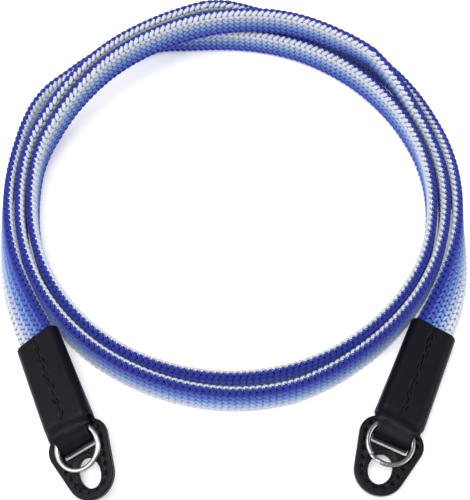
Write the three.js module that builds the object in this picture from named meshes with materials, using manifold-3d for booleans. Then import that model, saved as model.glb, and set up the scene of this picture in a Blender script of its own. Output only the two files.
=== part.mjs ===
// A knitted camera strap lying on a table in a coil of almost three turns, standing on its edge.
// Each end goes into a leather sleeve whose neck loops over a split ring and through a leather pad.
// Millimetres, +Z up. The camera side of the photo is -Y.

import * as THREE from 'three';
import { mergeVertices } from 'three/addons/utils/BufferGeometryUtils.js';
import Module from 'manifold-3d';

const wasm = await Module();
wasm.setup();

// Driving sizes of the knitted strap
const strap_width = 12.3;
const strap_thickness = 3.3;
const layer_gap = 0.3;
const stack_gap = 0.3;
const coil_reach = 65;
const station_step = 5.8;
const turn_step = 6;

// Driving sizes of the leather ends
const leather = 1.1;
const fit_gap = 0.25;
const sleeve_length = 34.2;
const sleeve_flare = 0.5;
const sleeve_mouth_radius = 2.9;
const sleeve_end_radius = 2.6;
const strap_in_sleeve = 28;
const pocket_overrun = 1;
const neck_width = 11.2;
const neck_bend = 0.5;
const pad_width = 20.2;
const pad_length = 23.5;
const pad_thickness = 2.1;
const pad_corner_radius = 5.6;
const pad_tip_radius = 7.8;
const pad_bevel = 0.3;
const pad_dip = THREE.MathUtils.degToRad(2);
const pad_overlap = 3;
const bar_width = 5.45;
const slot_width = 3.15;
const slot_corner_radius = 0.4;
const hole_width = 7.2;
const hole_length = 9.4;
const hole_from_slot = 2.1;

// Driving sizes of the split rings
const ring_outer_radius = 7.5;
const ring_wire_width = 1.3;
const ring_wire_height = 0.68;
const ring_turn_gap = 0.06;
const ring_back = 3;
const ring_wire_corner = 0.27;
const ring_ramp = THREE.MathUtils.degToRad(12);
const ring_wire_end = THREE.MathUtils.degToRad(14.4);
const ring_steps = 64;

// Where each leather end lies: its mouth's place in the coil, its heading and how far it is rolled
const ends = {
  left: { turn: -39.6, form: 1.103, layer: 2, heading: -67.5, roll: 26, split_at: 190 },
  right: { turn: 938.3, form: 1.080, layer: 2, heading: -112.3, roll: 9, split_at: -20 },
};

// The coil, from the left mouth to the right one. Columns:
// turn    degrees round the coil, clockwise from its left side
// form    the innermost layer's distance from the coil's middle, as a share of coil_reach
// layer   how many layers further out this one lies
// lift    height of its lower edge, as a share of one strap standing on another
// lean    degrees that its upper edge leans towards the middle, 90 when it lies flat
const first_turn = [
  { turn: -31, form: 1.072, layer: 2, lift: 0.09, lean: 50 },
  { turn: -23, form: 1.053, layer: 2, lift: 0.05, lean: 33 },
  { turn: -15, form: 1.036, layer: 2, lift: 0.02, lean: 20 },
  { turn: -6, form: 1.021, layer: 2, lift: 0, lean: 11 },
  { turn: 10, form: 1.014, layer: 2, lift: 0, lean: 7 },
  { turn: 28, form: 1.030, layer: 2, lift: 0, lean: 4 },
  { turn: 40, form: 0.990, layer: 2, lift: 0, lean: 2 },
  { turn: 53, form: 1.020, layer: 1, lift: 0, lean: 0 },
  { turn: 66, form: 0.985, layer: 1, lift: 0, lean: 0 },
  { turn: 78, form: 0.984, layer: 0, lift: 0, lean: 2 },
  { turn: 90, form: 0.963, layer: 0, lift: 0, lean: 4 },
  { turn: 105, form: 0.954, layer: 0, lift: 0, lean: 4 },
  { turn: 123, form: 0.951, layer: 0, lift: 0, lean: 0 },
  { turn: 140, form: 0.952, layer: 0, lift: 0, lean: 0 },
  { turn: 155, form: 0.960, layer: 0, lift: 0, lean: 0 },
  { turn: 170, form: 0.971, layer: 0, lift: 0, lean: 2 },
  { turn: 188, form: 0.980, layer: 0, lift: 0, lean: 3 },
  { turn: 205, form: 0.988, layer: 0, lift: 0, lean: 3 },
  { turn: 225, form: 0.988, layer: 0, lift: 0, lean: 4 },
  { turn: 245, form: 0.994, layer: 0, lift: 0, lean: 4 },
  { turn: 270, form: 1.003, layer: 0, lift: 0, lean: 5 },
  { turn: 290, form: 1.009, layer: 0, lift: 0, lean: 5 },
  { turn: 306, form: 1.014, layer: 0, lift: 0, lean: 4 },
  { turn: 320, form: 1.014, layer: 0, lift: 0, lean: 3 },
  { turn: 336, form: 1.011, layer: 0, lift: 0, lean: 1 },
];
const second_turn = [
  { turn: 353, form: 1.005, layer: 0, lift: 0, lean: 0 },
  { turn: 369, form: 0.997, layer: 0, lift: 0.24, lean: 0 },
  { turn: 384, form: 0.945, layer: 0, lift: 0.73, lean: 0 },
  { turn: 400, form: 0.910, layer: 0, lift: 1, lean: -1 },
  { turn: 417, form: 0.908, layer: 0, lift: 1, lean: -2 },
  { turn: 434, form: 0.918, layer: 0, lift: 1, lean: -1 },
  { turn: 451, form: 0.939, layer: 0, lift: 1, lean: 3 },
  { turn: 467, form: 0.962, layer: 0, lift: 1, lean: 6 },
  { turn: 483, form: 0.974, layer: 0, lift: 1, lean: 8 },
  { turn: 492, form: 0.992, layer: 0, lift: 1, lean: 12 },
  { turn: 502, form: 1.005, layer: 0, lift: 0.75, lean: 11 },
  { turn: 514, form: 0.965, layer: 1, lift: 0.25, lean: 6 },
  { turn: 530, form: 0.982, layer: 1, lift: 0, lean: 2 },
  { turn: 547, form: 0.988, layer: 1, lift: 0, lean: 2 },
  { turn: 564, form: 0.989, layer: 1, lift: 0, lean: 2 },
  { turn: 579, form: 0.989, layer: 1, lift: 0, lean: 3 },
  { turn: 593, form: 0.994, layer: 1, lift: 0, lean: 4 },
  { turn: 606, form: 1.012, layer: 1, lift: 0, lean: 5 },
  { turn: 618, form: 1.028, layer: 1, lift: 0, lean: 5 },
  { turn: 630, form: 1.029, layer: 1, lift: 0, lean: 6 },
  { turn: 641, form: 1.026, layer: 1, lift: 0, lean: 7 },
  { turn: 655, form: 1.023, layer: 1, lift: 0, lean: 7 },
  { turn: 670, form: 1.023, layer: 1, lift: 0, lean: 6 },
  { turn: 685, form: 1.023, layer: 1, lift: 0, lean: 5 },
];
const last_turn = [
  { turn: 698, form: 1.018, layer: 1, lift: 0, lean: 3 },
  { turn: 713, form: 1.009, layer: 1, lift: 0, lean: 0 },
  { turn: 731, form: 0.997, layer: 1, lift: 0.24, lean: 0 },
  { turn: 744, form: 0.947, layer: 1, lift: 0.73, lean: 0 },
  { turn: 760, form: 0.914, layer: 1, lift: 1, lean: -1 },
  { turn: 778, form: 0.910, layer: 1, lift: 1, lean: -2 },
  { turn: 795, form: 0.928, layer: 1, lift: 1, lean: 0 },
  { turn: 802, form: 0.950, layer: 1, lift: 0.95, lean: 2 },
  { turn: 809, form: 0.966, layer: 1, lift: 0.72, lean: 4 },
  { turn: 817, form: 0.974, layer: 1, lift: 0.42, lean: 4 },
  { turn: 829, form: 0.987, layer: 1, lift: 0.1, lean: 4 },
  { turn: 845, form: 0.955, layer: 2, lift: 0, lean: 3 },
  { turn: 857, form: 0.969, layer: 2, lift: 0, lean: 2 },
  { turn: 873, form: 0.969, layer: 2, lift: 0, lean: 2 },
  { turn: 889, form: 0.983, layer: 2, lift: 0, lean: 3 },
  { turn: 907, form: 1.000, layer: 2, lift: 0, lean: 9 },
  { turn: 915, form: 1.018, layer: 2, lift: 0, lean: 22 },
  { turn: 923, form: 1.038, layer: 2, lift: 0.04, lean: 41 },
  { turn: 931, form: 1.058, layer: 2, lift: 0.08, lean: 62 },
];

// Sizes that follow
const layer_pitch = strap_thickness + layer_gap;
const stack_height = strap_width + stack_gap;
const edge_radius = strap_thickness / 2;
const mouth_height = strap_thickness + 2 * (fit_gap + leather);
const mouth_width = strap_width + 2 * (fit_gap + leather);
const ring_height = 2 * ring_wire_height + ring_turn_gap;
const slot_length = neck_width + 2 * fit_gap;
const pad_seat = leather + fit_gap;
const neck_front = bar_width + fit_gap + leather - pad_overlap;
const ring_seat = pad_seat + pad_thickness + fit_gap + Math.tan(pad_dip) * (bar_width - pad_overlap + ring_back);
const end_height = ring_seat + ring_height + fit_gap + leather;
const up = new THREE.Vector3(0, 0, 1);

function solidOf(geometry) {
  const bare = geometry.clone();
  bare.deleteAttribute('normal');
  bare.deleteAttribute('uv');
  const merged = mergeVertices(bare, 1e-4);
  return new wasm.Manifold(new wasm.Mesh({
    numProp: 3,
    vertProperties: new Float32Array(merged.attributes.position.array),
    triVerts: new Uint32Array(merged.index.array),
  }));
}

function geometryOf(solid) {
  const mesh = solid.getMesh();
  const geometry = new THREE.BufferGeometry();
  geometry.setAttribute('position', new THREE.BufferAttribute(new Float32Array(mesh.vertProperties), 3));
  geometry.setIndex(new THREE.BufferAttribute(new Uint32Array(mesh.triVerts), 1));
  geometry.computeVertexNormals();
  return geometry;
}

// A closed skin through sections with the same number of points, each counterclockwise
// when seen from the far end, with a flat face on the first and last one
function loft(sections) {
  const count = sections[0].length;
  const faces = [];
  for (let s = 0; s < sections.length - 1; s += 1) {
    for (let i = 0; i < count; i += 1) {
      const j = (i + 1) % count;
      const here = s * count;
      const next = here + count;
      faces.push(here + i, here + j, next + j);
      faces.push(here + i, next + j, next + i);
    }
  }
  const last = (sections.length - 1) * count;
  for (let i = 1; i < count - 1; i += 1) {
    faces.push(0, i + 1, i);
    faces.push(last, last + i, last + i + 1);
  }
  const geometry = new THREE.BufferGeometry();
  geometry.setFromPoints(sections.flat());
  geometry.setIndex(faces);
  geometry.computeVertexNormals();
  return geometry;
}

// A flat oblong with rounded corners, as pairs of distances along its width and its thickness
function oblong(half_width, half_height, radius, points_per_corner) {
  const outline = [];
  for (let corner = 0; corner < 4; corner += 1) {
    const right = corner === 0 || corner === 3 ? 1 : -1;
    const top = corner < 2 ? 1 : -1;
    for (let i = 0; i < points_per_corner; i += 1) {
      const angle = (corner + i / (points_per_corner - 1)) * Math.PI / 2;
      outline.push([
        right * (half_width - radius) + radius * Math.cos(angle),
        top * (half_height - radius) + radius * Math.sin(angle),
      ]);
    }
  }
  return outline;
}

function reachOf(row) {
  return row.form * coil_reach + row.layer * layer_pitch;
}

function inPlan(turn, reach) {
  const angle = THREE.MathUtils.degToRad(180 - turn);
  return new THREE.Vector3(reach * Math.cos(angle), reach * Math.sin(angle), 0);
}

// The leather end's own frame: x from its mouth to its ring, z out of its upper face
function endFrame(side) {
  const end = ends[side];
  const heading = THREE.MathUtils.degToRad(end.heading);
  const roll = THREE.MathUtils.degToRad(end.roll);
  const inner_side = side === 'left' ? 1 : -1;
  const along = new THREE.Vector3(Math.cos(heading), Math.sin(heading), 0);
  const across = new THREE.Vector3().crossVectors(up, along);
  const rest = new THREE.Matrix4().makeBasis(along, across, up);
  const rolled = new THREE.Matrix4().makeRotationX(inner_side * roll);
  const pad_edge_drop = pad_width / 2 * Math.sin(roll) - pad_seat / 2 * Math.cos(roll);
  const middle = inPlan(end.turn, reachOf(end));
  middle.addScaledVector(across, inner_side * Math.sin(roll) * mouth_height / 2);
  middle.z = Math.max(pad_edge_drop, 0);
  return rest.multiply(rolled).setPosition(middle);
}

function pointInEnd(side, distance) {
  return new THREE.Vector3(distance, 0, mouth_height / 2).applyMatrix4(endFrame(side));
}

// How high the strap's middle lies above whatever its lower edge stands on
function standingHeight(lean) {
  return edge_radius + (strap_width / 2 - edge_radius) * Math.cos(THREE.MathUtils.degToRad(lean));
}

// One column of the coil's table at any turn, on a smooth curve that never overshoots its rows
function columnAt(rows, name, turn) {
  const last = rows.length - 2;
  const i = Math.min(Math.max(rows.findIndex((row) => row.turn > turn) - 1, 0), last);
  const steepness = (k) => (rows[k + 1][name] - rows[k][name]) / (rows[k + 1].turn - rows[k].turn);
  const slope = (k) => {
    if (k === 0) return steepness(0);
    if (k > last) return steepness(last);
    const before = steepness(k - 1);
    const after = steepness(k);
    return before * after > 0 ? 2 * before * after / (before + after) : 0;
  };
  const span = rows[i + 1].turn - rows[i].turn;
  const t = (turn - rows[i].turn) / span;
  const start = rows[i][name] * (1 + 2 * t) * (1 - t) ** 2 + slope(i) * span * t * (1 - t) ** 2;
  return start + rows[i + 1][name] * t * t * (3 - 2 * t) - slope(i + 1) * span * t * t * (1 - t);
}

// The strap's way in plan, with its lift and lean, from inside the left sleeve to inside the right
function strapRoute() {
  const stopsInSleeve = (side, shares) => shares.map((share) => {
    const plan = pointInEnd(side, share * strap_in_sleeve);
    const lean = 90 - ends[side].roll;
    const lift = plan.z - standingHeight(lean);
    return { plan: plan.setZ(0), lift, lean };
  });
  const left = stopsInSleeve('left', [1, 0.6, 0.25, 0]);
  const right = stopsInSleeve('right', [0, 0.25, 0.6, 1]);
  const rows = [...first_turn, ...second_turn, ...last_turn].map((row) => (
    { turn: row.turn, reach: reachOf(row), lift: row.lift * stack_height, lean: row.lean }));
  rows.unshift({ turn: ends.left.turn, reach: left.at(-1).plan.length(), lift: left.at(-1).lift, lean: left.at(-1).lean });
  rows.push({ turn: ends.right.turn, reach: right[0].plan.length(), lift: right[0].lift, lean: right[0].lean });
  const first = rows[0].turn;
  const total = rows.at(-1).turn - first;
  const count = Math.round(total / turn_step);
  const coil = [];
  for (let i = 1; i < count; i += 1) {
    const turn = first + total * i / count;
    const [reach, lift, lean] = ['reach', 'lift', 'lean'].map((name) => columnAt(rows, name, turn));
    coil.push({ plan: inPlan(turn, reach), lift, lean });
  }
  return [...left, ...coil, ...right];
}

function strapStations() {
  const stops = strapRoute();
  const line = new THREE.CatmullRomCurve3(stops.map((stop) => stop.plan), false, 'centripetal');
  line.arcLengthDivisions = 2000;
  const steps = Math.ceil(line.getLength() / station_step);
  const stations = [];
  for (let i = 0; i <= steps; i += 1) {
    const place = line.getUtoTmapping(i / steps) * (stops.length - 1);
    const stop = Math.min(Math.floor(place), stops.length - 2);
    const between = (name) => THREE.MathUtils.lerp(stops[stop][name], stops[stop + 1][name], place - stop);
    const lean = between('lean');
    const middle = line.getPointAt(i / steps).setZ(between('lift') + standingHeight(lean));
    stations.push({ middle, lean: THREE.MathUtils.degToRad(lean) });
  }
  return stations;
}

function strapSections() {
  const stations = strapStations();
  const outline = oblong(strap_width / 2, strap_thickness / 2, edge_radius, 3);
  return stations.map(({ middle, lean }, i) => {
    const before = stations[Math.max(i - 1, 0)].middle;
    const after = stations[Math.min(i + 1, stations.length - 1)].middle;
    const along = new THREE.Vector3().subVectors(after, before).normalize();
    const outward = new THREE.Vector3().crossVectors(up, along).normalize();
    const upright = new THREE.Vector3().crossVectors(along, outward);
    const face = outward.clone().multiplyScalar(Math.cos(lean)).addScaledVector(upright, Math.sin(lean));
    const edge = upright.clone().multiplyScalar(Math.cos(lean)).addScaledVector(outward, -Math.sin(lean));
    return outline.map(([across, through]) => middle.clone()
      .addScaledVector(edge, -across)
      .addScaledVector(face, through));
  });
}

function sleeveSection(distance, half_width, half_height, middle, radius) {
  return oblong(half_width, half_height, radius, 5)
    .map(([across, through]) => new THREE.Vector3(distance, across, middle + through));
}

// A side view of the neck, given by how far leather lies outside its inner face
function neckOutline(out) {
  const front = sleeve_length + neck_front - leather + out;
  const back = sleeve_length - pad_overlap - fit_gap - out;
  const bottom = leather - out;
  const top = end_height - leather + out;
  const bend = neck_bend + out;
  const slope = Math.tan(pad_dip) * (front - bend - sleeve_length);
  const shape = new THREE.Shape();
  shape.moveTo(back, bottom);
  shape.lineTo(front - bend, bottom);
  shape.absarc(front - bend, bottom + bend, bend, -Math.PI / 2, 0, false);
  shape.absarc(front - bend, top - slope - bend, bend, 0, Math.PI / 2, false);
  shape.lineTo(sleeve_length, top);
  shape.lineTo(back, top);
  shape.closePath();
  return shape;
}

// The side view stands in the x and z axes and is as wide as given along y
function neckSlab(out, width) {
  const slab = new THREE.ExtrudeGeometry(neckOutline(out), {
    depth: width, bevelEnabled: false, curveSegments: 5,
  });
  slab.rotateX(Math.PI / 2);
  slab.translate(0, width / 2, 0);
  return slab;
}

function sleeveGeometry() {
  const mouth_middle = mouth_height / 2;
  const outer = loft([
    sleeveSection(0, mouth_width / 2, mouth_height / 2, mouth_middle, sleeve_mouth_radius),
    sleeveSection(sleeve_length, mouth_width / 2 + sleeve_flare, end_height / 2, end_height / 2, sleeve_end_radius),
  ]);
  const pocket_width = strap_width / 2 + fit_gap;
  const pocket_height = strap_thickness / 2 + fit_gap;
  const pocket = loft([-pocket_overrun, strap_in_sleeve + fit_gap].map((distance) => (
    sleeveSection(distance, pocket_width, pocket_height, mouth_middle, pocket_height))));
  const neck = solidOf(neckSlab(leather, neck_width));
  const ring_space = solidOf(neckSlab(0, 2 * pad_width));
  return geometryOf(solidOf(outer).add(neck).subtract(solidOf(pocket)).subtract(ring_space));
}

// The pad lies in its own frame: x from its top edge to its tip, z out of its upper face
function padGeometry() {
  const corner = new THREE.Vector2(pad_corner_radius, pad_width / 2 - pad_corner_radius);
  const tip_middle = pad_length - pad_tip_radius;
  const apart = Math.hypot(tip_middle - corner.x, corner.y);
  const side = Math.atan2(corner.y, tip_middle - corner.x);
  const tangent = Math.PI / 2 - side + Math.asin((pad_tip_radius - pad_corner_radius) / apart);
  const shape = new THREE.Shape();
  shape.absarc(tip_middle, 0, pad_tip_radius, -tangent, tangent, false);
  shape.absarc(corner.x, corner.y, pad_corner_radius, tangent, Math.PI, false);
  shape.absarc(corner.x, -corner.y, pad_corner_radius, Math.PI, 2 * Math.PI - tangent, false);
  const slot_middle = bar_width + slot_width / 2;
  const slot = new THREE.Path(oblong(slot_width / 2, slot_length / 2, slot_corner_radius, 3)
    .map(([along, across]) => new THREE.Vector2(slot_middle + along, across)));
  const hole = new THREE.Path();
  const hole_middle = bar_width + slot_width + hole_from_slot + hole_length / 2;
  hole.absellipse(hole_middle, 0, hole_length / 2, hole_width / 2, 0, 2 * Math.PI, false, 0);
  shape.holes.push(slot, hole);
  const pad = new THREE.ExtrudeGeometry(shape, {
    depth: pad_thickness - 2 * pad_bevel,
    bevelThickness: pad_bevel,
    bevelSize: pad_bevel,
    bevelOffset: -pad_bevel,
    bevelSegments: 1,
    curveSegments: 10,
  });
  pad.translate(0, 0, pad_bevel);
  return geometryOf(solidOf(pad));
}

// Two flat turns of wire, one on the other, with a short ramp between them
function splitRingGeometry(split_at) {
  const radius = ring_outer_radius - ring_wire_width / 2;
  const outline = oblong(ring_wire_width / 2, ring_wire_height / 2, ring_wire_corner, 2);
  const sections = [];
  for (let i = 0; i <= ring_steps; i += 1) {
    const angle = THREE.MathUtils.lerp(ring_wire_end, 4 * Math.PI - ring_wire_end, i / ring_steps);
    const rise = THREE.MathUtils.smoothstep(angle, 2 * Math.PI - ring_ramp, 2 * Math.PI + ring_ramp);
    const height = ring_wire_height / 2 + rise * (ring_wire_height + ring_turn_gap);
    const outward = new THREE.Vector3(Math.cos(angle), Math.sin(angle), 0);
    sections.push(outline.map(([across, through]) => outward.clone()
      .multiplyScalar(radius - across)
      .setZ(height + through)));
  }
  const ring = loft(sections);
  ring.rotateZ(THREE.MathUtils.degToRad(split_at));
  return ring;
}

function piece(name, geometry, material) {
  const mesh = new THREE.Mesh(geometry, material);
  mesh.name = name;
  return mesh;
}

const knit = new THREE.MeshStandardMaterial({ color: 0x3f57c0, roughness: 0.9, metalness: 0 });
const black_leather = new THREE.MeshStandardMaterial({ color: 0x17171b, roughness: 0.55, metalness: 0 });
const nickel = new THREE.MeshStandardMaterial({ color: 0xc9c8c4, roughness: 0.25, metalness: 1 });

function leatherEnd(side) {
  const end = new THREE.Group();
  endFrame(side).decompose(end.position, end.quaternion, end.scale);
  end.add(piece(`${side}_sleeve`, sleeveGeometry(), black_leather));
  const hung = new THREE.Group();
  hung.position.set(sleeve_length - pad_overlap, 0, pad_seat + Math.tan(pad_dip) * bar_width);
  hung.rotation.y = pad_dip;
  hung.add(piece(`${side}_pad`, padGeometry(), black_leather));
  const ring = piece(`${side}_split_ring`, splitRingGeometry(ends[side].split_at), nickel);
  ring.position.set(pad_overlap - ring_back + ring_outer_radius, 0, pad_thickness + fit_gap);
  hung.add(ring);
  end.add(hung);
  return end;
}

const model = new THREE.Group();
model.add(piece('strap', loft(strapSections()), knit));
model.add(leatherEnd('left'));
model.add(leatherEnd('right'));

// The origin goes to the middle of the object's footprint
model.updateMatrixWorld(true);
const box = new THREE.Box3().setFromObject(model, true);
const footprint = box.getCenter(new THREE.Vector3()).setZ(box.min.z);
model.position.sub(footprint);

export default model;
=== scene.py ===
# %% [markdown]
# # A knitted camera strap, coiled on a table
# The strap is a flat tube of stocking stitch, shaded in stripes from royal blue to white.
# It lies in almost three turns, standing on its edge, and each end goes into a leather sleeve
# with a split ring and a sewn leather pad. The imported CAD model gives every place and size:
# this script puts the yarn, the leather and the metal on it.

# %% Load the CAD model
import bpy
import numpy as np
from math import atan2, cos, degrees, hypot, pi, radians, sin, tan
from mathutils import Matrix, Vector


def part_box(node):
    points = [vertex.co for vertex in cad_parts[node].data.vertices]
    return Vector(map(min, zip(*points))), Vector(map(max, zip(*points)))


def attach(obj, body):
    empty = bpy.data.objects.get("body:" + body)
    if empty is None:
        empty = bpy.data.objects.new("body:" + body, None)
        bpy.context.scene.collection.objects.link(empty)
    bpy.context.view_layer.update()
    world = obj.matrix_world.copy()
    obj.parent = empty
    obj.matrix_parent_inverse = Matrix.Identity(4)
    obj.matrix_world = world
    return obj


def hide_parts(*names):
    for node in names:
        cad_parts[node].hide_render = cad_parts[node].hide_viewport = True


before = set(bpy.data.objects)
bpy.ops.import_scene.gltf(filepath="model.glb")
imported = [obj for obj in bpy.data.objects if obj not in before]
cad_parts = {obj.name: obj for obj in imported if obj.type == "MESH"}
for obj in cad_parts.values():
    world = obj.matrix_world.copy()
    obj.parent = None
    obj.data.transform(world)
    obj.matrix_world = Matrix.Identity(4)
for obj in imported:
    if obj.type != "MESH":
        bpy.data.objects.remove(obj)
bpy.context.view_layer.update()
MM = 0.001

# %% [markdown]
# ## Sizes
# A maker measures each thing once, and works out the rest. These are the sizes that the CAD model
# was built from, so that each dressed piece lies where its CAD solid lies.

# %% Sizes of the strap and the leather ends, in millimetres
strap_width = 12.3
strap_thickness = 3.3
layer_gap = 0.3
stack_gap = 0.3
coil_reach = 65
turn_step = 6
leather = 1.1
fit_gap = 0.25
sleeve_length = 34.2
strap_in_sleeve = 28
pad_width = 20.2
pad_length = 23.5
pad_thickness = 2.1
pad_corner_radius = 5.6
pad_tip_radius = 7.8
pad_dip = radians(2)
pad_overlap = 3
bar_width = 5.45
slot_width = 3.15
hole_width = 7.2
hole_length = 9.4
hole_from_slot = 2.1
ring_outer_radius = 7.5
ring_wire_width = 1.3
ring_wire_height = 0.68
ring_turn_gap = 0.06
ring_back = 3
ring_ramp = radians(12)
ring_wire_end = radians(14.4)
layer_pitch = strap_thickness + layer_gap
stack_height = strap_width + stack_gap
edge_radius = strap_thickness / 2
mouth_height = strap_thickness + 2 * (fit_gap + leather)
pad_seat = leather + fit_gap
ring_height = 2 * ring_wire_height + ring_turn_gap
ring_seat = pad_seat + pad_thickness + fit_gap + tan(pad_dip) * (bar_width - pad_overlap + ring_back)
end_height = ring_seat + ring_height + fit_gap + leather
print("height of a leather end at its ring in mm:", round(end_height, 2))

# %% [markdown]
# ## The strap's route
# A knitted strap that is coiled by hand never makes a true spiral: its turns cross, lean and
# climb on each other. The route is kept as the same table that the CAD model was built from,
# one row for each place where the strap does something. A cubic that never overshoots its rows
# fills in between, which is what a springy band does by itself.

# %% The table of the coil
# turn: degrees round the coil, clockwise from its left side. form: distance of the innermost
# layer from the middle, as a share of coil_reach. layer: how many layers further out.
# lift: height of the lower edge, as a share of one strap standing on another.
# lean: degrees that the upper edge leans to the middle.
coil_rows = np.array([
    (-31, 1.072, 2, 0.09, 50), (-23, 1.053, 2, 0.05, 33), (-15, 1.036, 2, 0.02, 20),
    (-6, 1.021, 2, 0, 11), (10, 1.014, 2, 0, 7), (28, 1.030, 2, 0, 4), (40, 0.990, 2, 0, 2),
    (53, 1.020, 1, 0, 0), (66, 0.985, 1, 0, 0), (78, 0.984, 0, 0, 2), (90, 0.963, 0, 0, 4),
    (105, 0.954, 0, 0, 4), (123, 0.951, 0, 0, 0), (140, 0.952, 0, 0, 0), (155, 0.960, 0, 0, 0),
    (170, 0.971, 0, 0, 2), (188, 0.980, 0, 0, 3), (205, 0.988, 0, 0, 3), (225, 0.988, 0, 0, 4),
    (245, 0.994, 0, 0, 4), (270, 1.003, 0, 0, 5), (290, 1.009, 0, 0, 5), (306, 1.014, 0, 0, 4),
    (320, 1.014, 0, 0, 3), (336, 1.011, 0, 0, 1), (353, 1.005, 0, 0, 0), (369, 0.997, 0, 0.24, 0),
    (384, 0.945, 0, 0.73, 0), (400, 0.910, 0, 1, -1), (417, 0.908, 0, 1, -2),
    (434, 0.918, 0, 1, -1), (451, 0.939, 0, 1, 3), (467, 0.962, 0, 1, 6), (483, 0.974, 0, 1, 8),
    (492, 0.992, 0, 1, 12), (502, 1.005, 0, 0.75, 11), (514, 0.965, 1, 0.25, 6),
    (530, 0.982, 1, 0, 2), (547, 0.988, 1, 0, 2), (564, 0.989, 1, 0, 2), (579, 0.989, 1, 0, 3),
    (593, 0.994, 1, 0, 4), (606, 1.012, 1, 0, 5), (618, 1.028, 1, 0, 5), (630, 1.029, 1, 0, 6),
    (641, 1.026, 1, 0, 7), (655, 1.023, 1, 0, 7), (670, 1.023, 1, 0, 6), (685, 1.023, 1, 0, 5),
    (698, 1.018, 1, 0, 3), (713, 1.009, 1, 0, 0), (731, 0.997, 1, 0.24, 0),
    (744, 0.947, 1, 0.73, 0), (760, 0.914, 1, 1, -1), (778, 0.910, 1, 1, -2), (795, 0.928, 1, 1, 0),
    (802, 0.950, 1, 0.95, 2), (809, 0.966, 1, 0.72, 4), (817, 0.974, 1, 0.42, 4),
    (829, 0.987, 1, 0.1, 4), (845, 0.955, 2, 0, 3), (857, 0.969, 2, 0, 2), (873, 0.969, 2, 0, 2),
    (889, 0.983, 2, 0, 3), (907, 1.000, 2, 0, 9), (915, 1.018, 2, 0, 22), (923, 1.038, 2, 0.04, 41),
    (931, 1.058, 2, 0.08, 62),
])
ends = {
    "left": {"turn": -39.6, "form": 1.103, "heading": -67.5, "roll": 26, "split_at": 190},
    "right": {"turn": 938.3, "form": 1.080, "heading": -112.3, "roll": 9, "split_at": -20},
}
end_layer = 2
print("rows in the coil's table:", len(coil_rows))


# %% [markdown]
# ### From the table to places
# The coil's places come from an angle and a distance. A leather end lies straight however it is
# turned, so it has a frame of its own, and one matrix lays all of it on the table at once.

# %% Places in the coil and in the leather ends
def in_plan(turn, reach):
    angle = radians(180 - turn)
    return np.array([reach * cos(angle), reach * sin(angle), 0.0])


def end_frame(side):
    """A 4 x 4 matrix: x from the sleeve's mouth to its ring, z out of its upper face."""
    end = ends[side]
    heading, roll = radians(end["heading"]), radians(end["roll"])
    inner_side = 1 if side == "left" else -1
    along = np.array([cos(heading), sin(heading), 0])
    across = np.array([-sin(heading), cos(heading), 0])
    up = np.array([0, 0, 1])
    tilt = inner_side * roll
    place = in_plan(end["turn"], end["form"] * coil_reach + end_layer * layer_pitch)
    place = place + across * inner_side * sin(roll) * mouth_height / 2
    place[2] = max(pad_width / 2 * sin(roll) - pad_seat / 2 * cos(roll), 0)
    matrix = np.eye(4)
    matrix[:3, 0] = along
    matrix[:3, 1] = across * cos(tilt) + up * sin(tilt)
    matrix[:3, 2] = up * cos(tilt) - across * sin(tilt)
    matrix[:3, 3] = place
    return matrix


def standing_height(lean):
    """How high the strap's middle lies above what its lower edge stands on."""
    return edge_radius + (strap_width / 2 - edge_radius) * np.cos(np.radians(lean))


def column_at(turns, values, turn):
    """A column of the table at any turn, on a smooth curve that never overshoots its rows."""
    steep = np.diff(values) / np.diff(turns)
    before, after = steep[:-1], steep[1:]
    both = before * after > 0
    slopes = np.zeros(len(values))
    slopes[1:-1][both] = 2 * before[both] * after[both] / (before[both] + after[both])
    slopes[0], slopes[-1] = steep[0], steep[-1]
    i = np.clip(np.searchsorted(turns, turn, side="right") - 1, 0, len(turns) - 2)
    span = turns[i + 1] - turns[i]
    t = (turn - turns[i]) / span
    start = values[i] * (1 + 2 * t) * (1 - t) ** 2 + slopes[i] * span * t * (1 - t) ** 2
    return start + values[i + 1] * t * t * (3 - 2 * t) - slopes[i + 1] * span * t * t * (1 - t)


print("left mouth lies at", np.round(end_frame("left")[:3, 3], 1))


# %% [markdown]
# ### The stops
# The strap's end lies straight inside its sleeve, so a few stops are set along it there. Between
# the sleeves the table gives a stop every few degrees.

# %% The route's stops, from inside the left sleeve to inside the right one
sleeve_shares = (1, 0.6, 0.25, 0)


def stops_in_sleeve(side, shares):
    lean = 90 - ends[side]["roll"]
    stops = []
    for share in shares:
        x, y, z = (end_frame(side) @ [share * strap_in_sleeve, 0, mouth_height / 2, 1])[:3]
        stops.append((x, y, z - standing_height(lean), lean))
    return stops


left_stops = stops_in_sleeve("left", sleeve_shares)
right_stops = stops_in_sleeve("right", sleeve_shares[::-1])
reaches = coil_rows[:, 1] * coil_reach + coil_rows[:, 2] * layer_pitch
table = np.column_stack([coil_rows[:, 0], reaches, coil_rows[:, 3] * stack_height, coil_rows[:, 4]])
mouths = [
    (ends[side]["turn"], hypot(stop[0], stop[1]), stop[2], stop[3])
    for side, stop in (("left", left_stops[-1]), ("right", right_stops[0]))
]
table = np.vstack([mouths[0], table, mouths[1]])
turns = np.linspace(table[0, 0], table[-1, 0], round((table[-1, 0] - table[0, 0]) / turn_step) + 1)
reach, lift, lean = (column_at(table[:, 0], table[:, c], turns[1:-1]) for c in (1, 2, 3))
coil_stops = [
    (*in_plan(turn, r)[:2], up, tip) for turn, r, up, tip in zip(turns[1:-1], reach, lift, lean)
]
stops = np.array(left_stops + coil_stops + right_stops)
print("stops on the route:", len(stops))


# %% [markdown]
# ### A line through the stops
# Blender's own curve object could draw this line, but the stitches need its length and the way
# that the strap faces at every point. So it is worked out as arrays, with a curve that doesn't
# swing out where stops lie close together.

# %% A fine line through the stops
steps_a_stop = 24


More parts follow.
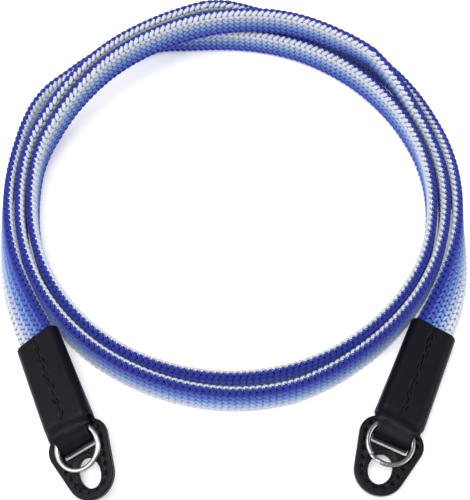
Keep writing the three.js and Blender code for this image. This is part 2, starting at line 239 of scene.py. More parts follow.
def through(stops, steps):
    """The plan follows a centripetal Catmull-Rom curve, and lift and lean run straight."""
    plan = stops[:, :2]
    plan = np.vstack([2 * plan[0] - plan[1], plan, 2 * plan[-1] - plan[-2]])
    spans = np.linalg.norm(np.diff(plan, axis=0), axis=1)[:, None] ** 0.5
    steep = np.diff(plan, axis=0) / spans
    wide = (plan[2:] - plan[:-2]) / (spans[:-1] + spans[1:])
    slopes = steep[:-1] - wide + steep[1:]
    fine = []
    for i in range(len(stops) - 1):
        t = np.linspace(0, 1, steps, endpoint=False)[:, None]
        start, finish, span = plan[i + 1], plan[i + 2], spans[i + 1]
        point = start * (1 + 2 * t) * (1 - t) ** 2 + slopes[i] * span * t * (1 - t) ** 2
        point = point + finish * t * t * (3 - 2 * t) - slopes[i + 1] * span * t * t * (1 - t)
        fine.append(np.hstack([point, stops[i, 2:] * (1 - t) + stops[i + 1, 2:] * t]))
    return np.vstack([*fine, stops[-1]])


def unit(vectors):
    return vectors / np.linalg.norm(vectors, axis=-1, keepdims=True)


line = through(stops, steps_a_stop)
middle = np.column_stack([line[:, 0], line[:, 1], line[:, 2] + standing_height(line[:, 3])])
length = np.concatenate([[0], np.cumsum(np.linalg.norm(np.diff(middle, axis=0), axis=1))])
along = unit(np.gradient(middle, axis=0))
outward = unit(np.cross([0, 0, 1], along))
upright = np.cross(along, outward)
tip = np.radians(line[:, 3:4])
face = outward * np.cos(tip) + upright * np.sin(tip)
edge = upright * np.cos(tip) - outward * np.sin(tip)
print("length of the strap in mm:", round(length[-1]))

# %% [markdown]
# ## Laying the route on the CAD model
# The table counts from the middle of the coil, and the CAD model from the middle of its
# footprint. Comparing the box of this route with the box of the CAD strap gives the shift.

# %% Where the coil's middle lies in the model
across_reach = (strap_width / 2 - edge_radius) * np.abs(edge) + edge_radius
route_low = (middle - across_reach).min(axis=0)
route_high = (middle + across_reach).max(axis=0)
strap_low, strap_high = (np.array(corner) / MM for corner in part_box("strap"))
shift = (strap_low + strap_high) / 2 - (route_low + route_high) / 2
shift[2] = 0
print("shift to the model in mm:", np.round(shift, 2), "box difference in mm:",
      np.round((strap_high - strap_low) - (route_high - route_low), 2))


def to_model(points):
    """Points in the table's millimetres become places in the model, in metres."""
    return (np.asarray(points) + shift) * MM


# %% [markdown]
# ## The camera
# The photograph looks down on the coil at 62 degrees with a long lens, so that the far side of
# the coil is only a little smaller than the near side. The camera is set by that angle, its
# distance and the lens.

# %% The camera
camera_elevation = radians(62)
camera_distance = 466
camera_aim = np.array([0, -16.4, 0])
camera_data = bpy.data.cameras.new("camera")
camera_data.sensor_width = 36
camera_data.lens = 104.1
camera_data.clip_start = 0.01
camera = bpy.data.objects.new("camera", camera_data)
bpy.context.scene.collection.objects.link(camera)
back = np.array([0, -cos(camera_elevation), sin(camera_elevation)])
camera.location = to_model(camera_aim + camera_distance * back)
camera.rotation_euler = (pi / 2 - camera_elevation, 0, 0)
bpy.context.scene.camera = camera
print("camera at", [round(x, 3) for x in camera.location])

# %% [markdown]
# ## Colours and materials
# A given colour is an sRGB value, and Blender's nodes want linear light, so one function
# turns every hex colour. One small function adds a node, sets its inputs and links it, so that a
# material reads as a list of what its surface has.


# %% Helpers for materials
def linear(hex_colour):
    channels = [int(hex_colour[i:i + 2], 16) / 255 for i in (1, 3, 5)]
    return tuple(c / 12.92 if c <= 0.04045 else ((c + 0.055) / 1.055) ** 2.4 for c in channels) + (1,)


def node(material, kind, values=None, links=None, **settings):
    """Adds a node, sets its properties and its inputs, and links its inputs to outputs."""
    made = material.node_tree.nodes.new(kind)
    for name, value in settings.items():
        setattr(made, name, value)
    for name, value in (values or {}).items():
        made.inputs[name].default_value = value
    for name, output in (links or {}).items():
        material.node_tree.links.new(output, made.inputs[name])
    return made


def new_material(name):
    """A material with its shader, and coordinates in metres for its patterns."""
    material = bpy.data.materials.new(name)
    material.use_nodes = True
    shader = material.node_tree.nodes["Principled BSDF"]
    place = node(material, "ShaderNodeTexCoord").outputs["Object"]
    return material, shader, place


print("mid grey in linear light:", round(linear("#808080")[0], 3))


# %% [markdown]
# ### Dyed yarn
# The yarn is a soft twisted polyester and cotton thread about 1.2 mm thick. It is dyed in five
# shades, one to a wale, and scatters light: rough, with the faint halo that short fibres give,
# which is the shader's sheen. The twist of the plies is too fine for the picture to show, so it
# is drawn coarser, as a small bump every 0.3 mm.

# %% The yarn's material
yarn_shades = {
    "royal": "#1A298E",
    "periwinkle": "#4459B0",
    "cornflower": "#6586C2",
    "lavender": "#A0ACCF",
    "white": "#C3C9D4",
}
fibre_spacing = 0.3


def yarn(name, shade):
    material, shader, place = new_material(name)
    fibres = node(material, "ShaderNodeTexNoise",
                  {"Scale": 1 / (fibre_spacing * MM), "Detail": 2}, {"Vector": place})
    bump = node(material, "ShaderNodeBump", {"Strength": 0.25, "Distance": 0.05 * MM},
                {"Height": fibres.outputs["Fac"]})
    material.node_tree.links.new(bump.outputs["Normal"], shader.inputs["Normal"])
    shader.inputs["Base Color"].default_value = linear(shade)
    shader.inputs["Roughness"].default_value = 0.8
    shader.inputs["Specular IOR Level"].default_value = 0.35
    shader.inputs["Sheen Weight"].default_value = 0.15
    shader.inputs["Sheen Roughness"].default_value = 0.4
    return material


yarns = {name: yarn(f"{name}_dyed_yarn", shade) for name, shade in yarn_shades.items()}
# The backs of the loops in painted shade: each wale's yarn darkened to stand for the shadow there.
painted_shade_backings = {
    "royal": yarn("royal_in_shadow", "#0C1040"),
    "periwinkle": yarn("periwinkle_in_shadow", "#161E60"),
    "cornflower": yarn("cornflower_in_shadow", "#24387C"),
    "lavender": yarn("lavender_in_shadow", "#5C6CA6"),
    "white": yarn("white_in_shadow", "#ACB3C6"),
}
print("yarns:", list(yarns))


# %% [markdown]
# ## From arrays to meshes
# Most pieces here are worked out as arrays of points, so one helper turns points and faces
# into an object, shades it smooth and puts it on the CAD model's body. Yarn, thread and wire are
# all rings of points joined side by side, so they share one list of faces.

# %% A helper that makes a piece
def piece(name, points, faces, material, replaced):
    mesh = bpy.data.meshes.new(name)
    mesh.from_pydata(np.asarray(points).tolist(), [], faces)
    mesh.materials.append(material)
    mesh.shade_smooth()
    made = bpy.data.objects.new(name, mesh)
    bpy.context.scene.collection.objects.link(made)
    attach(made, "root")
    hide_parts(replaced)
    return made


def tube_faces(rings, sides):
    """Faces of a tube of rings, with a fan to one point at each end."""
    faces = []
    for r in range(rings - 1):
        for i in range(sides):
            j = (i + 1) % sides
            faces.append((r * sides + i, r * sides + j, (r + 1) * sides + j, (r + 1) * sides + i))
    first, last = rings * sides, rings * sides + 1
    for i in range(sides):
        j = (i + 1) % sides
        faces.append((first, j, i))
        faces.append((last, (rings - 1) * sides + i, (rings - 1) * sides + j))
    return faces


print("faces of the shortest tube:", len(tube_faces(2, 3)))


# %% [markdown]
# ## The knitted tube
# Stocking stitch is columns of V shapes, called wales. This tube has ten, five on each face, and
# each V is two fat legs of yarn that come up from behind the stitch below, lie over it and dive
# behind the next one. A texture could show them flat, but the strap's toothed edges show against
# the floor, so each leg is real geometry: one small lens, repeated along the strap by arrays and
# bent round the strap's section. The V points to the strap's left end all the way.

# %% Sizes of a stitch
# The royal wale is the widest, and the white legs are the fattest for their wale's width. The
# stripes begin a little over the strap's top edge, on its inner side, and tooth is how far a white
# leg reaches into the royal wale beside it.
wales = 10
course = 2.0
yarn_half_width = 0.61
yarn_half_height = 0.6
yarn_proud = 0.12
leg_rings = 5
leg_sides = 6
section_radius = edge_radius - yarn_half_height
flat = strap_width - strap_thickness
girth = 2 * flat + 2 * pi * section_radius
wale_pitch = girth / wales
wale_shares = {"royal": 1.2, "periwinkle": 0.95, "cornflower": 0.95, "lavender": 0.92, "white": 0.98}
wale_fullness = {"royal": 1, "periwinkle": 1, "cornflower": 1, "lavender": 1.02, "white": 1.14}
over_the_edge = 0.5
tooth = 0.5
print("wale pitch in mm:", round(wale_pitch, 2), "stitches:", wales * round(length[-1] / course))


# %% [markdown]
# ### One leg
# A leg of yarn is thin where it comes up from behind the fabric, fat where it lies on top and
# thin again where it dives. A tube of five rings with a point at each end is enough for that, at
# the size that a leg has in the picture, and keeps thousands of them light.

# %% One leg of a stitch
# The overlap is a share of a course, and the foot and the head are shares of the wale's width.
# A smaller end power makes blunter ends. The bow and the tuck sink the ends, in millimetres.
leg_overlap = 0.08
leg_foot = 0.06
leg_head = 0.48
leg_end_power = 0.22
leg_bow = 0.15
leg_tuck = 0.25


def leg(side, width, fullness, longer):
    """Points along the strap, across the wale and out of the fabric, in millimetres."""
    start = np.array([-leg_overlap * course, leg_foot * width])
    finish = np.array([(1 + leg_overlap) * course, leg_head * width + longer])
    half_width = yarn_half_width * width / wale_pitch * fullness
    shares = (1 - np.cos(pi * (np.arange(leg_rings) + 1) / (leg_rings + 1))) / 2
    steps = np.concatenate([[0], shares, [1]])
    way = np.column_stack([steps, steps * steps * (3 - 2 * steps)])
    way = (start + (finish - start) * way) * (1, side)
    heading = unit(way[2:] - way[:-2])
    swell = (4 * shares * (1 - shares)) ** leg_end_power
    rise = yarn_proud - leg_bow * (2 * shares - 1) ** 2
    points = []
    for ring in range(leg_rings):
        sideways = np.array([-heading[ring, 1], heading[ring, 0]])
        for k in range(leg_sides):
            turn = 2 * pi * k / leg_sides
            spot = way[ring + 1] + sideways * half_width * swell[ring] * cos(turn)
            points.append((*spot, rise[ring] + yarn_half_height * swell[ring] * sin(turn)))
    points.append((*way[0], -leg_tuck))
    points.append((*way[-1], -leg_tuck))
    return np.array(points)


leg_faces = tube_faces(leg_rings, leg_sides)
print("triangles in a leg:", sum(len(f) - 2 for f in leg_faces))


# %% [markdown]
# ### Round the strap
# The strap's section is flat with round edges. A stitch is made lying flat, and its place across
# the fabric becomes a place round that section. Curve and array modifiers bend along one line
# only, so this is done on the points.

# %% Bending stitches round the strap
def round_section(around):
    """Place and normal in the section, from the middle of the top edge down the outer face."""
    around = np.mod(around, girth)
    quarter = pi * section_radius / 2
    half = girth / 2
    back_half = around > half
    run = np.where(back_half, girth - around, around)
    top = run < quarter
    bottom = run > half - quarter
    angle = np.where(top, run / section_radius, pi / 2)
    angle = np.where(bottom, pi / 2 + (run - (half - quarter)) / section_radius, angle)
    slide = np.where(top, flat / 2, np.where(bottom, -flat / 2, flat / 2 - (run - quarter)))
    flip = np.where(back_half, -1, 1)
    normal = np.stack([np.cos(angle), np.sin(angle) * flip], axis=-1)
    spot = np.stack([slide, np.zeros_like(slide)], axis=-1) + section_radius * normal
    return spot, normal


def on_strap(lengthwise, around, out):
    """Places in the model for distances along the strap, round its section and out of it."""
    spot, normal = round_section(around)
    spot = spot + normal * out[..., None]
    at = [np.stack([np.interp(lengthwise, length, a[:, c]) for c in range(3)], axis=-1)
          for a in (middle, edge, face)]
    return to_model(at[0] + at[1] * spot[..., :1] + at[2] * spot[..., 1:])


stitches_into_sleeve = 3
hidden = strap_in_sleeve - stitches_into_sleeve
courses = np.arange(hidden, length[-1] - hidden, course)
print("courses:", len(courses))


# %% [markdown]
# ### The wales
# Each wale is dyed in one shade, so it is one piece: all the legs of one side of its stitches, from
# one sleeve to the other, and then all those of the other side. They stop just inside the sleeves.

# %% The ten wales
shares = list(wale_shares.values()) * 2
wale_starts = np.concatenate([[0], np.cumsum(shares)]) * wale_pitch - over_the_edge


def wale(number, shade, face_name):
    points, faces = [], []
    width = wale_starts[number + 1] - wale_starts[number]
    wale_middle = (wale_starts[number + 1] + wale_starts[number]) / 2
    for side in (1, -1):
        longer = tooth if shade == "white" and side == 1 else 0
        lens = leg(side, width, wale_fullness[shade], longer)
        along_strap = (courses[:, None] + lens[:, 0]).ravel()
        around = np.tile(wale_middle + lens[:, 1], len(courses))
        out = np.tile(lens[:, 2], len(courses))
        first = sum(len(p) for p in points)
        points.append(on_strap(along_strap, around, out))
        for stitch in range(len(courses)):
            before = first + stitch * len(lens)
            faces.extend(tuple(v + before for v in f) for f in leg_faces)
    return piece(f"{shade}_wale_{face_name}", np.vstack(points), faces, yarns[shade], "strap")


for number in range(wales):
    face_name = "outer" if number < wales / 2 else "inner"
    made = wale(number, list(yarns)[number % len(yarns)], face_name)
print("triangles in a wale:", sum(len(p.vertices) - 2 for p in made.data.polygons))

# %% [markdown]
# ### Behind the stitches
# Between the legs the eye falls on the backs of the loops, in shadow. A plain band inside the
# stitches gives that, with each wale's yarn darkened as painted shade for that shadow, and it is all
# that goes on inside the sleeves.

# %% The backs of the loops
backing_depth = 0.5
facets_a_wale = 3
backing_step = 3
spots = np.arange(0, length[-1], backing_step)
facets = np.arange(wales * facets_a_wale) / facets_a_wale
ring_around = np.interp(facets, np.arange(wales + 1), wale_starts)
grid_along, grid_around = np.meshgrid(spots, ring_around, indexing="ij")
skin = on_strap(grid_along.ravel(), grid_around.ravel(), np.full(grid_along.size, -backing_depth))
caps = to_model(middle[[0, -1]])
sides_round = len(ring_around)
backing_piece = piece("backs_of_loops", np.vstack([skin, caps]), tube_faces(len(spots), sides_round),
                      painted_shade_backings["royal"], "strap")
for shade in list(yarns)[1:]:
    backing_piece.data.materials.append(painted_shade_backings[shade])
for face_number, polygon in enumerate(backing_piece.data.polygons):
    polygon.material_index = face_number % sides_round // facets_a_wale % len(yarns)
print("points on the backs of the loops:", len(skin))

# %% [markdown]
# ## Leather, thread and nickel
# The ends are vegetable-tanned cowhide, dyed through to a blue black and waxed. Light slides
# over the wax in soft streaks, the pores show as a fine grain, and handling leaves duller and
# shinier places. The pads' cut edges are sealed with lacquer, which is smooth and shines.

# %% The leather and its lacquered edge
grain_width = 0.45
grain_height = 0.06
handled_patch = 6
handled_change = 0.1


def leather_finish(name, shade, roughness, grain_strength):
    material, shader, place = new_material(name)
    pores = node(material, "ShaderNodeTexVoronoi", {"Scale": 1 / (grain_width * MM)},
                 {"Vector": place}, feature="SMOOTH_F1")
    handling = node(material, "ShaderNodeTexNoise", {"Scale": 1 / (handled_patch * MM), "Detail": 3},
                    {"Vector": place})
    dull = node(material, "ShaderNodeMapRange",
                {"To Min": roughness - handled_change, "To Max": roughness + handled_change},
                {"Value": handling.outputs["Fac"]})
    bump = node(material, "ShaderNodeBump", {"Strength": grain_strength, "Distance": grain_height * MM},
                {"Height": pores.outputs["Distance"]})
    material.node_tree.links.new(dull.outputs["Result"], shader.inputs["Roughness"])
    material.node_tree.links.new(bump.outputs["Normal"], shader.inputs["Normal"])
    shader.inputs["Base Color"].default_value = linear(shade)
    shader.inputs["Specular IOR Level"].default_value = 0.15
    return material


waxed_leather = leather_finish("waxed_black_cowhide", "#0A0A13", 0.4, 0.4)
lacquered_edge = leather_finish("lacquered_leather_edge", "#08080D", 0.26, 0.05)
print("leathers:", waxed_leather.name, lacquered_edge.name)

# %% [markdown]
# ### Polyester thread
# The seams are sewn with black bonded polyester: darker than the leather, because light falls
# between its plies, and with a small dry highlight. The plies are drawn as a bump every 0.5 mm.

# %% The thread's material
ply_length = 0.5
thread_material, shader, place = new_material("black_bonded_thread")
plies = node(thread_material, "ShaderNodeTexNoise", {"Scale": 1 / (ply_length * MM)}, {"Vector": place})
bump = node(thread_material, "ShaderNodeBump", {"Strength": 0.4, "Distance": 0.05 * MM},
            {"Height": plies.outputs["Fac"]})
thread_material.node_tree.links.new(bump.outputs["Normal"], shader.inputs["Normal"])
shader.inputs["Base Color"].default_value = linear("#060607")
shader.inputs["Roughness"].default_value = 0.6
shader.inputs["Specular IOR Level"].default_value = 0.25
print("thread:", thread_material.name)

# %% [markdown]
# ### Nickel plate
# Split rings are flattened steel wire, bright nickel plated. Nickel is a little warmer and darker
# than chrome, and drawing the wire leaves fine lines along it that blur what it mirrors.

# %% The nickel's material
draw_mark_length = 1.5
nickel, shader, place = new_material("bright_nickel_plate")
draw_marks = node(nickel, "ShaderNodeTexNoise",
                  {"Scale": 1 / (draw_mark_length * MM), "Detail": 4}, {"Vector": place})
blur = node(nickel, "ShaderNodeMapRange", {"To Min": 0.18, "To Max": 0.24},
            {"Value": draw_marks.outputs["Fac"]})
nickel.node_tree.links.new(blur.outputs["Result"], shader.inputs["Roughness"])
shader.inputs["Base Color"].default_value = linear("#A3A2A1")
shader.inputs["Metallic"].default_value = 1.0
print("metal:", nickel.name)

# %% [markdown]
# ## Frames of the leather ends
# Each leather end is made lying straight in a frame of its own and then laid in its place. The pad
# and the ring hang from the neck, so they share a second frame that dips a little towards the tip.

# %% From an end's frame to the model
def hung_frame(side):
    """A 4 x 4 matrix: x from the pad's top edge to its tip, z out of its upper face."""
    hung = np.eye(4)
    hung[0, [0, 2]] = cos(pad_dip), sin(pad_dip)
    hung[2, [0, 2]] = -sin(pad_dip), cos(pad_dip)
    hung[:3, 3] = sleeve_length - pad_overlap, 0, pad_seat + tan(pad_dip) * bar_width
    return end_frame(side) @ hung


def laid(matrix, points):
    points = np.asarray(points)
    return to_model(points @ matrix[:3, :3].T + matrix[:3, 3])


def ease(values, low, high):
    share = np.clip((values - low) / (high - low), 0, 1)
    return share * share * (3 - 2 * share)


def ridge(values, at, half_width):
    return np.exp(-((values - at) / half_width) ** 2)


print("the pads dip by", round(degrees(pad_dip), 1), "degrees")


# %% [markdown]
# ### Softening a stiff form
# Folded leather has no sharp corner. The CAD solid has the right size but crisp edges, so its
# mesh is rebuilt as small even cells and relaxed, which rounds every edge by about a cell's
# width. The even cells also take the seams and grooves that are pressed into them afterwards.

# %% A soft copy of a CAD node, in its own frame and in millimetres
def softened(name, matrix, cell, rounds):
    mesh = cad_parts[name].data.copy()
    places = np.empty(len(mesh.vertices) * 3)
    mesh.vertices.foreach_get("co", places)
    local = (places.reshape(-1, 3) / MM - shift - matrix[:3, 3]) @ matrix[:3, :3]
    mesh.vertices.foreach_set("co", local.ravel())
    draft = bpy.data.objects.new("draft", mesh)
    bpy.context.scene.collection.objects.link(draft)
    cells = draft.modifiers.new("cells", "REMESH")
    cells.mode = "VOXEL"
    cells.voxel_size = cell
    relaxed = draft.modifiers.new("relaxed", "SMOOTH")
    relaxed.factor = 0.5
    relaxed.iterations = rounds
    evaluated = draft.evaluated_get(bpy.context.evaluated_depsgraph_get())
    soft = bpy.data.meshes.new_from_object(evaluated)
    points, normals = np.empty(len(soft.vertices) * 3), np.empty(len(soft.vertices) * 3)
    soft.vertices.foreach_get("co", points)
    soft.vertices.foreach_get("normal", normals)
    faces = [tuple(polygon.vertices) for polygon in soft.polygons]
    bpy.data.objects.remove(draft)
    print(name, "cells:", len(faces))
    return points.reshape(-1, 3), normals.reshape(-1, 3), faces


# %% [markdown]
# ### Thread and wire
# Thread and wire are an outline carried along a path. Blender's curve with a bevel does the same,
# but a stitch has to grow thin where it dives, and many stitches have to end up as one piece.

# %% Thread and wire along a path
def sweep(path, outline, swell=None):
    """Sections of an outline square to a path, with a point at each end."""
    path, outline = np.asarray(path, float), np.asarray(outline, float)
    ahead = unit(np.gradient(path, axis=0))
    sideways = unit(np.cross([0, 0, 1], ahead))
    above = np.cross(ahead, sideways)
    sections = sideways[:, None] * outline[None, :, :1] + above[:, None] * outline[None, :, 1:]
    if swell is not None:
        sections = sections * np.asarray(swell)[:, None, None]
    return np.vstack([(path[:, None] + sections).reshape(-1, 3), path[[0, -1]]])


def oval(half_width, half_height, sides):
    turn = 2 * pi * np.arange(sides) / sides
    return np.column_stack([half_width * np.cos(turn), half_height * np.sin(turn)])


def joined(parts, rings, sides):
    """Many sweeps of one size as one list of points and faces."""
    base = tube_faces(rings, sides)
    faces = [tuple(v + number * len(part) for v in f)
             for number, part in enumerate(parts) for f in base]
    return np.vstack(parts), faces


print("points in a thread's outline:", len(oval(1, 1, 6)))


# %% [markdown]
# ### The sleeves
# The sleeve is a strip folded lengthwise round the strap's end. Its two edges meet along the
# middle of the upper face and are laced together. Past the seam the strip goes over the ring's
# wire, rolls down through the pad's slot and comes back underneath.

# %% Sizes of the sleeves' seam, fold and neck, in millimetres
seam_end = 0.87 * sleeve_length
neck_reach = bar_width + fit_gap + leather - pad_overlap
ring_centre = sleeve_length - ring_back + ring_outer_radius
wire_radius = ring_outer_radius - ring_wire_width / 2
sleeve_cell = 0.38
sleeve_rounds = 5
crown = 0.22
seam_depth = 0.9
seam_half_width = 0.45
seam_fade = 1.5
wire_rise = 0.15
wire_half_width = 1.1
dent_depth = 0.15
dent_half_width = 1.2
dent_before_fold = 2.4
fold_rise = 0.2
fold_half_width = 1.4
neck_drop = 2.3
neck_drop_power = 1.6
neck_drop_past = 0.8
# The neck lies a little slack on the pad's bar, which leaves less of the slot open.
neck_slack = 0.6
# A mouth cut by hand isn't quite square: how much longer each sleeve is, and how far askew.
mouth_cut = {"left": (0, 0.1), "right": (2.2, -0.08)}
print("from the seam's end to the sleeve's end in mm:", round(sleeve_length - seam_end, 1))


# %% The sleeves' leather


def seam_line(x):
    return 0.22 * np.sin(0.8 * x) + 0.1 * np.sin(2.1 * x + 1)


def fold_line(y):
    return sleeve_length - 0.8 + 0.5 * np.sin(y / 4)


def upper_face(x):
    return mouth_height + (end_height - mouth_height) * x / sleeve_length


def sleeve(side):
    matrix = end_frame(side)
    points, _, faces = softened(f"{side}_sleeve", matrix, sleeve_cell, sleeve_rounds)
    x, y, z = points.T
    upper = ease(z, 0.6 * mouth_height, 0.85 * mouth_height)
    from_ring = np.hypot(x - ring_centre, y)
    past_fold = x - fold_line(y)
    seam = ease(x, 0, 1) * (1 - ease(x, seam_end - seam_fade, seam_end))
    rise = crown * np.cos(pi * y / (2 * strap_width)) * (1 - ease(x, seam_end, sleeve_length))
    rise = rise - seam_depth * seam * ridge(y, seam_line(x), seam_half_width)
    rise = rise + wire_rise * ridge(from_ring, wire_radius, wire_half_width)
    rise = rise - dent_depth * ridge(past_fold, -dent_before_fold, dent_half_width)
    rise = rise + fold_rise * ridge(past_fold, 0, fold_half_width)
    rise = rise - neck_drop * np.clip(past_fold / (neck_reach + neck_drop_past), 0, 1) ** neck_drop_power
    points[:, 2] = z + upper * rise
    longer, askew = mouth_cut[side]
    forward = neck_slack * ease(past_fold, 0.4 * neck_reach, neck_reach)
    points[:, 0] = x + forward - (longer + askew * y) * (1 - ease(x, 0, 0.6 * sleeve_length))
    piece(f"{side}_sleeve_leather", laid(matrix, points), faces, waxed_leather, f"{side}_sleeve")


print("the neck reaches past the sleeve in mm:", round(neck_reach, 2))


# %% The lacing: two threads that cross over and under each other along the seam
lacing_pitch = 4.6
lacing_start = 0.6
lacing_steps = 73
lacing_sway = 0.5
lacing_lift = 0.14
lacing_seat = 0.02
lacing_outline = oval(0.27, 0.22, 6)


def lacing(side):
    strands = []
    x = np.linspace(lacing_start, seam_end, lacing_steps)
    for hand in (1, -1):
        sway = hand * np.sin(pi * x / lacing_pitch)
        lift = upper_face(x) + lacing_seat + lacing_lift * hand * np.cos(pi * x / lacing_pitch)
        path = np.column_stack([x, seam_line(x) + lacing_sway * sway, lift])
        strands.append(sweep(path, lacing_outline))
    points, faces = joined(strands, len(x), len(lacing_outline))
    piece(f"{side}_sleeve_lacing", laid(end_frame(side), points), faces, thread_material,
          f"{side}_sleeve")


for side in ends:
    sleeve(side)
    lacing(side)
print("lacing crosses in a seam:", int((seam_end - lacing_start) / lacing_pitch))

# %% [markdown]
# ### The pads
# A protector pad is two layers of leather glued and sewn together all round, so that the ring
# doesn't scratch the camera. The row of stitches sinks into a groove, and the hole for the
# camera's lug has a pressed lip. Both are pushed into the softened pad by their distance from
# its outline and from the hole.

# %% The pads' outline and the line of the stitches
stitch_inset = 2.2
stitch_pitch = 2.8
stitch_length = 2.2
line_step = 0.2
arc_points = 60
rim_points = 160


def pad_outline(inset):
    """Round corners at the top and a round tip, joined by straight sides."""
    corner, tip_middle = pad_corner_radius, pad_length - pad_tip_radius
    corner_side = pad_width / 2 - pad_corner_radius
    apart = hypot(tip_middle - corner, corner_side)
    bearing = np.arctan2(corner_side, tip_middle - corner)
    tangent = pi / 2 - bearing + np.arcsin((pad_tip_radius - pad_corner_radius) / apart)
    arcs = [
        ((tip_middle, 0), pad_tip_radius, -tangent, tangent),
        ((corner, corner_side), pad_corner_radius, tangent, pi),
        ((corner, -corner_side), pad_corner_radius, pi, 2 * pi - tangent),
    ]
    corners = []
    for middle_point, radius, first, last in arcs:
        angle = np.linspace(first, last, arc_points)
        arc = np.column_stack([np.cos(angle), np.sin(angle)])
        corners.append(middle_point + (radius - inset) * arc)
    return evenly(np.vstack(corners), line_step)


def evenly(outline, step):
    """A closed outline as points about one step apart."""
    closed = np.vstack([outline, outline[:1]])
    run = np.concatenate([[0], np.cumsum(np.linalg.norm(np.diff(closed, axis=0), axis=1))])
    marks = np.linspace(0, run[-1], round(run[-1] / step), endpoint=False)
    return np.column_stack([np.interp(marks, run, closed[:, c]) for c in (0, 1)])


def nearest(points, outline):
    """How far points lie from an outline, in plan."""
    return np.concatenate([
        np.linalg.norm(some[:, None, :2] - outline[None], axis=2).min(axis=1)
        for some in np.array_split(points, 1 + len(points) // 2000)])


hole_start = bar_width + slot_width + hole_from_slot
hole_rim = oval(hole_length / 2, hole_width / 2, rim_points) + (hole_start + hole_length / 2, 0)
stitch_line = pad_outline(stitch_inset)
per_stitch = round(stitch_pitch / line_step)
taken = round(stitch_length / line_step)
first_stitches = range(0, len(stitch_line) - per_stitch // 2, per_stitch)
half_way = (taken + per_stitch) // 2
pits = stitch_line[[(first + half_way) % len(stitch_line) for first in first_stitches]]
print("stitches round a pad:", len(first_stitches))


# %% The pads' leather
pad_cell = 0.26
pad_rounds = 3
lip_rise = 0.12
lip_half_width = 0.4
lip_from_hole = 1.5
recess_depth = 0.3
recess_from_hole = (0.8, 1.2)
groove_depth = 0.16
groove_half_width = 0.45
pit_depth = 0.9
pit_half_width = 0.42
upright_slopes = (0.3, 0.6)
layer_line_depth = 0.15
layer_line_half_width = 0.2


def pad(side):
    matrix = hung_frame(side)
    points, normals, faces = softened(f"{side}_pad", matrix, pad_cell, pad_rounds)
    upper = ease(points[:, 2], 0.55 * pad_thickness, 0.85 * pad_thickness)
    from_edge = nearest(points, pad_outline(0))
    from_hole = nearest(points, hole_rim)
    rise = lip_rise * ridge(from_hole, lip_from_hole, lip_half_width)
    rise = rise - recess_depth * (1 - ease(from_hole, *recess_from_hole))
    rise = rise - groove_depth * ridge(from_edge, stitch_inset, groove_half_width)
    rise = rise - pit_depth * ridge(nearest(points, pits), 0, pit_half_width)
    points[:, 2] += upper * rise
    cut_edge = 1 - ease(np.abs(normals[:, 2]), *upright_slopes)
    layers = cut_edge * ridge(points[:, 2], pad_thickness / 2, layer_line_half_width)
    points -= layer_line_depth * normals * layers[:, None]
    made = piece(f"{side}_pad_leather", laid(matrix, points), faces, waxed_leather,
                 f"{side}_pad")
    made.data.materials.append(lacquered_edge)
    for polygon in made.data.polygons:
        corner_heights = normals[list(polygon.vertices), 2]
        polygon.material_index = int(abs(corner_heights.mean()) < 0.5)


print("the stitches' groove in mm: deep", groove_depth, "and in from the edge", stitch_inset)


# %% The pads' stitches
stitch_outline = oval(0.3, 0.2, 6)
stitch_dive = 0.4
stitch_taper = 0.4


def stitches(side):
    parts = []
    for first in first_stitches:
        plan = stitch_line[(first + np.arange(taken)) % len(stitch_line)]
        share = np.linspace(0, 1, taken)
        dive = np.abs(2 * share - 1) ** 3
        path = np.column_stack([plan, pad_thickness - groove_depth - stitch_dive * dive])
        parts.append(sweep(path, stitch_outline, 1 - stitch_taper * dive))
    points, faces = joined(parts, taken, len(stitch_outline))
    piece(f"{side}_pad_stitches", laid(hung_frame(side), points), faces, thread_material,
          f"{side}_pad")


for side in ends:
    pad(side)
    stitches(side)
print("points along a stitch:", taken)

# %% [markdown]
# ### The split rings
# A split ring is two flat turns of spring wire, so the wire's end shows as a small step. The same
# sweep as the thread makes it, with the wire's own outline and many more steps than the CAD ring.

# %% The split rings' wire
wire_sides = 12
wire_roundness = 0.65
ring_steps = 260


def wire_outline():
    """An oval whose sides are flattened: a roundness of 1 would leave it an oval."""
    turn = 2 * pi * (np.arange(wire_sides) + 0.5) / wire_sides
    wide = np.sign(np.cos(turn)) * np.abs(np.cos(turn)) ** wire_roundness
    high = np.sign(np.sin(turn)) * np.abs(np.sin(turn)) ** wire_roundness
    return np.column_stack([wide * ring_wire_width / 2, high * ring_wire_height / 2])


def split_ring(side):
    angle = np.linspace(ring_wire_end, 4 * pi - ring_wire_end, ring_steps)
    rise = ease(angle, 2 * pi - ring_ramp, 2 * pi + ring_ramp)
    turn = angle + radians(ends[side]["split_at"])
    centre = pad_overlap - ring_back + ring_outer_radius
    path = np.column_stack([
        centre + wire_radius * np.cos(turn),
        wire_radius * np.sin(turn),
        pad_thickness + fit_gap + ring_wire_height / 2 + rise * (ring_wire_height + ring_turn_gap),
    ])
    points, faces = joined([sweep(path, wire_outline())], len(path), wire_sides)
    piece(f"{side}_ring_wire", laid(hung_frame(side), points), faces, nickel,
          f"{side}_split_ring")


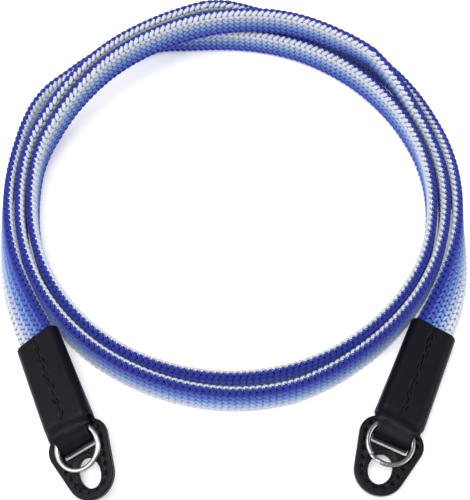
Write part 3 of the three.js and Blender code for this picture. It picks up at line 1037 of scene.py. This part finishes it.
for side in ends:
    split_ring(side)
meshes = [thing.data for thing in bpy.data.objects if thing.type == "MESH"]
total = sum(len(polygon.vertices) - 2 for mesh in meshes for polygon in mesh.polygons)
print("triangles, with the CAD solids:", total)

# %% [markdown]
# ## The floor and the light
# The picture shows the strap on plain white. Here it lies on white paper that also glows a little,
# as a lit table does, so that it stays white between the turns and the shadows stay faint. Three
# soft boxes, a large one overhead and one at each side, give the leather and the rings broad, soft
# highlights, where small lamps would make hard spots. Places and sizes here are in metres.

# %% The floor
floor_size = 6
floor_mesh = bpy.data.meshes.new("floor")
half = floor_size / 2
floor_mesh.from_pydata([(-half, -half, 0), (half, -half, 0), (half, half, 0), (-half, half, 0)],
                       [], [(0, 1, 2, 3)])
paper, shader, place = new_material("white_paper")
shader.inputs["Base Color"].default_value = linear("#F4F4F4")
shader.inputs["Roughness"].default_value = 0.9
shader.inputs["Emission Color"].default_value = linear("#FFFFFF")
shader.inputs["Emission Strength"].default_value = 0.25
floor_mesh.materials.append(paper)
floor = bpy.data.objects.new("floor", floor_mesh)
bpy.context.scene.collection.objects.link(floor)
print("floor:", floor_size, "m across")


# %% The light
def soft_box(name, place, size, power):
    """A square lamp that faces the middle of the model."""
    lamp = bpy.data.lights.new(name, "AREA")
    lamp.shape = "SQUARE"
    lamp.size = size
    lamp.energy = power
    made = bpy.data.objects.new(name, lamp)
    bpy.context.scene.collection.objects.link(made)
    made.location = place
    look = -np.array(place)
    flat_reach = hypot(look[0], look[1])
    made.rotation_euler = (atan2(flat_reach, -look[2]), 0, atan2(look[1], look[0]) - pi / 2)


soft_box("overhead_soft_box", (-0.15, -0.15, 0.95), 0.7, 8.5)
soft_box("left_soft_box", (-0.8, -0.3, 0.6), 0.6, 3.4)
soft_box("right_soft_box", (0.8, -0.2, 0.6), 0.6, 3)
world = bpy.data.worlds.new("studio")
bpy.context.scene.world = world
world.use_nodes = True
world.node_tree.nodes["Background"].inputs["Color"].default_value = linear("#FFFFFF")
world.node_tree.nodes["Background"].inputs["Strength"].default_value = 0.34
bpy.context.scene.view_settings.view_transform = "Standard"
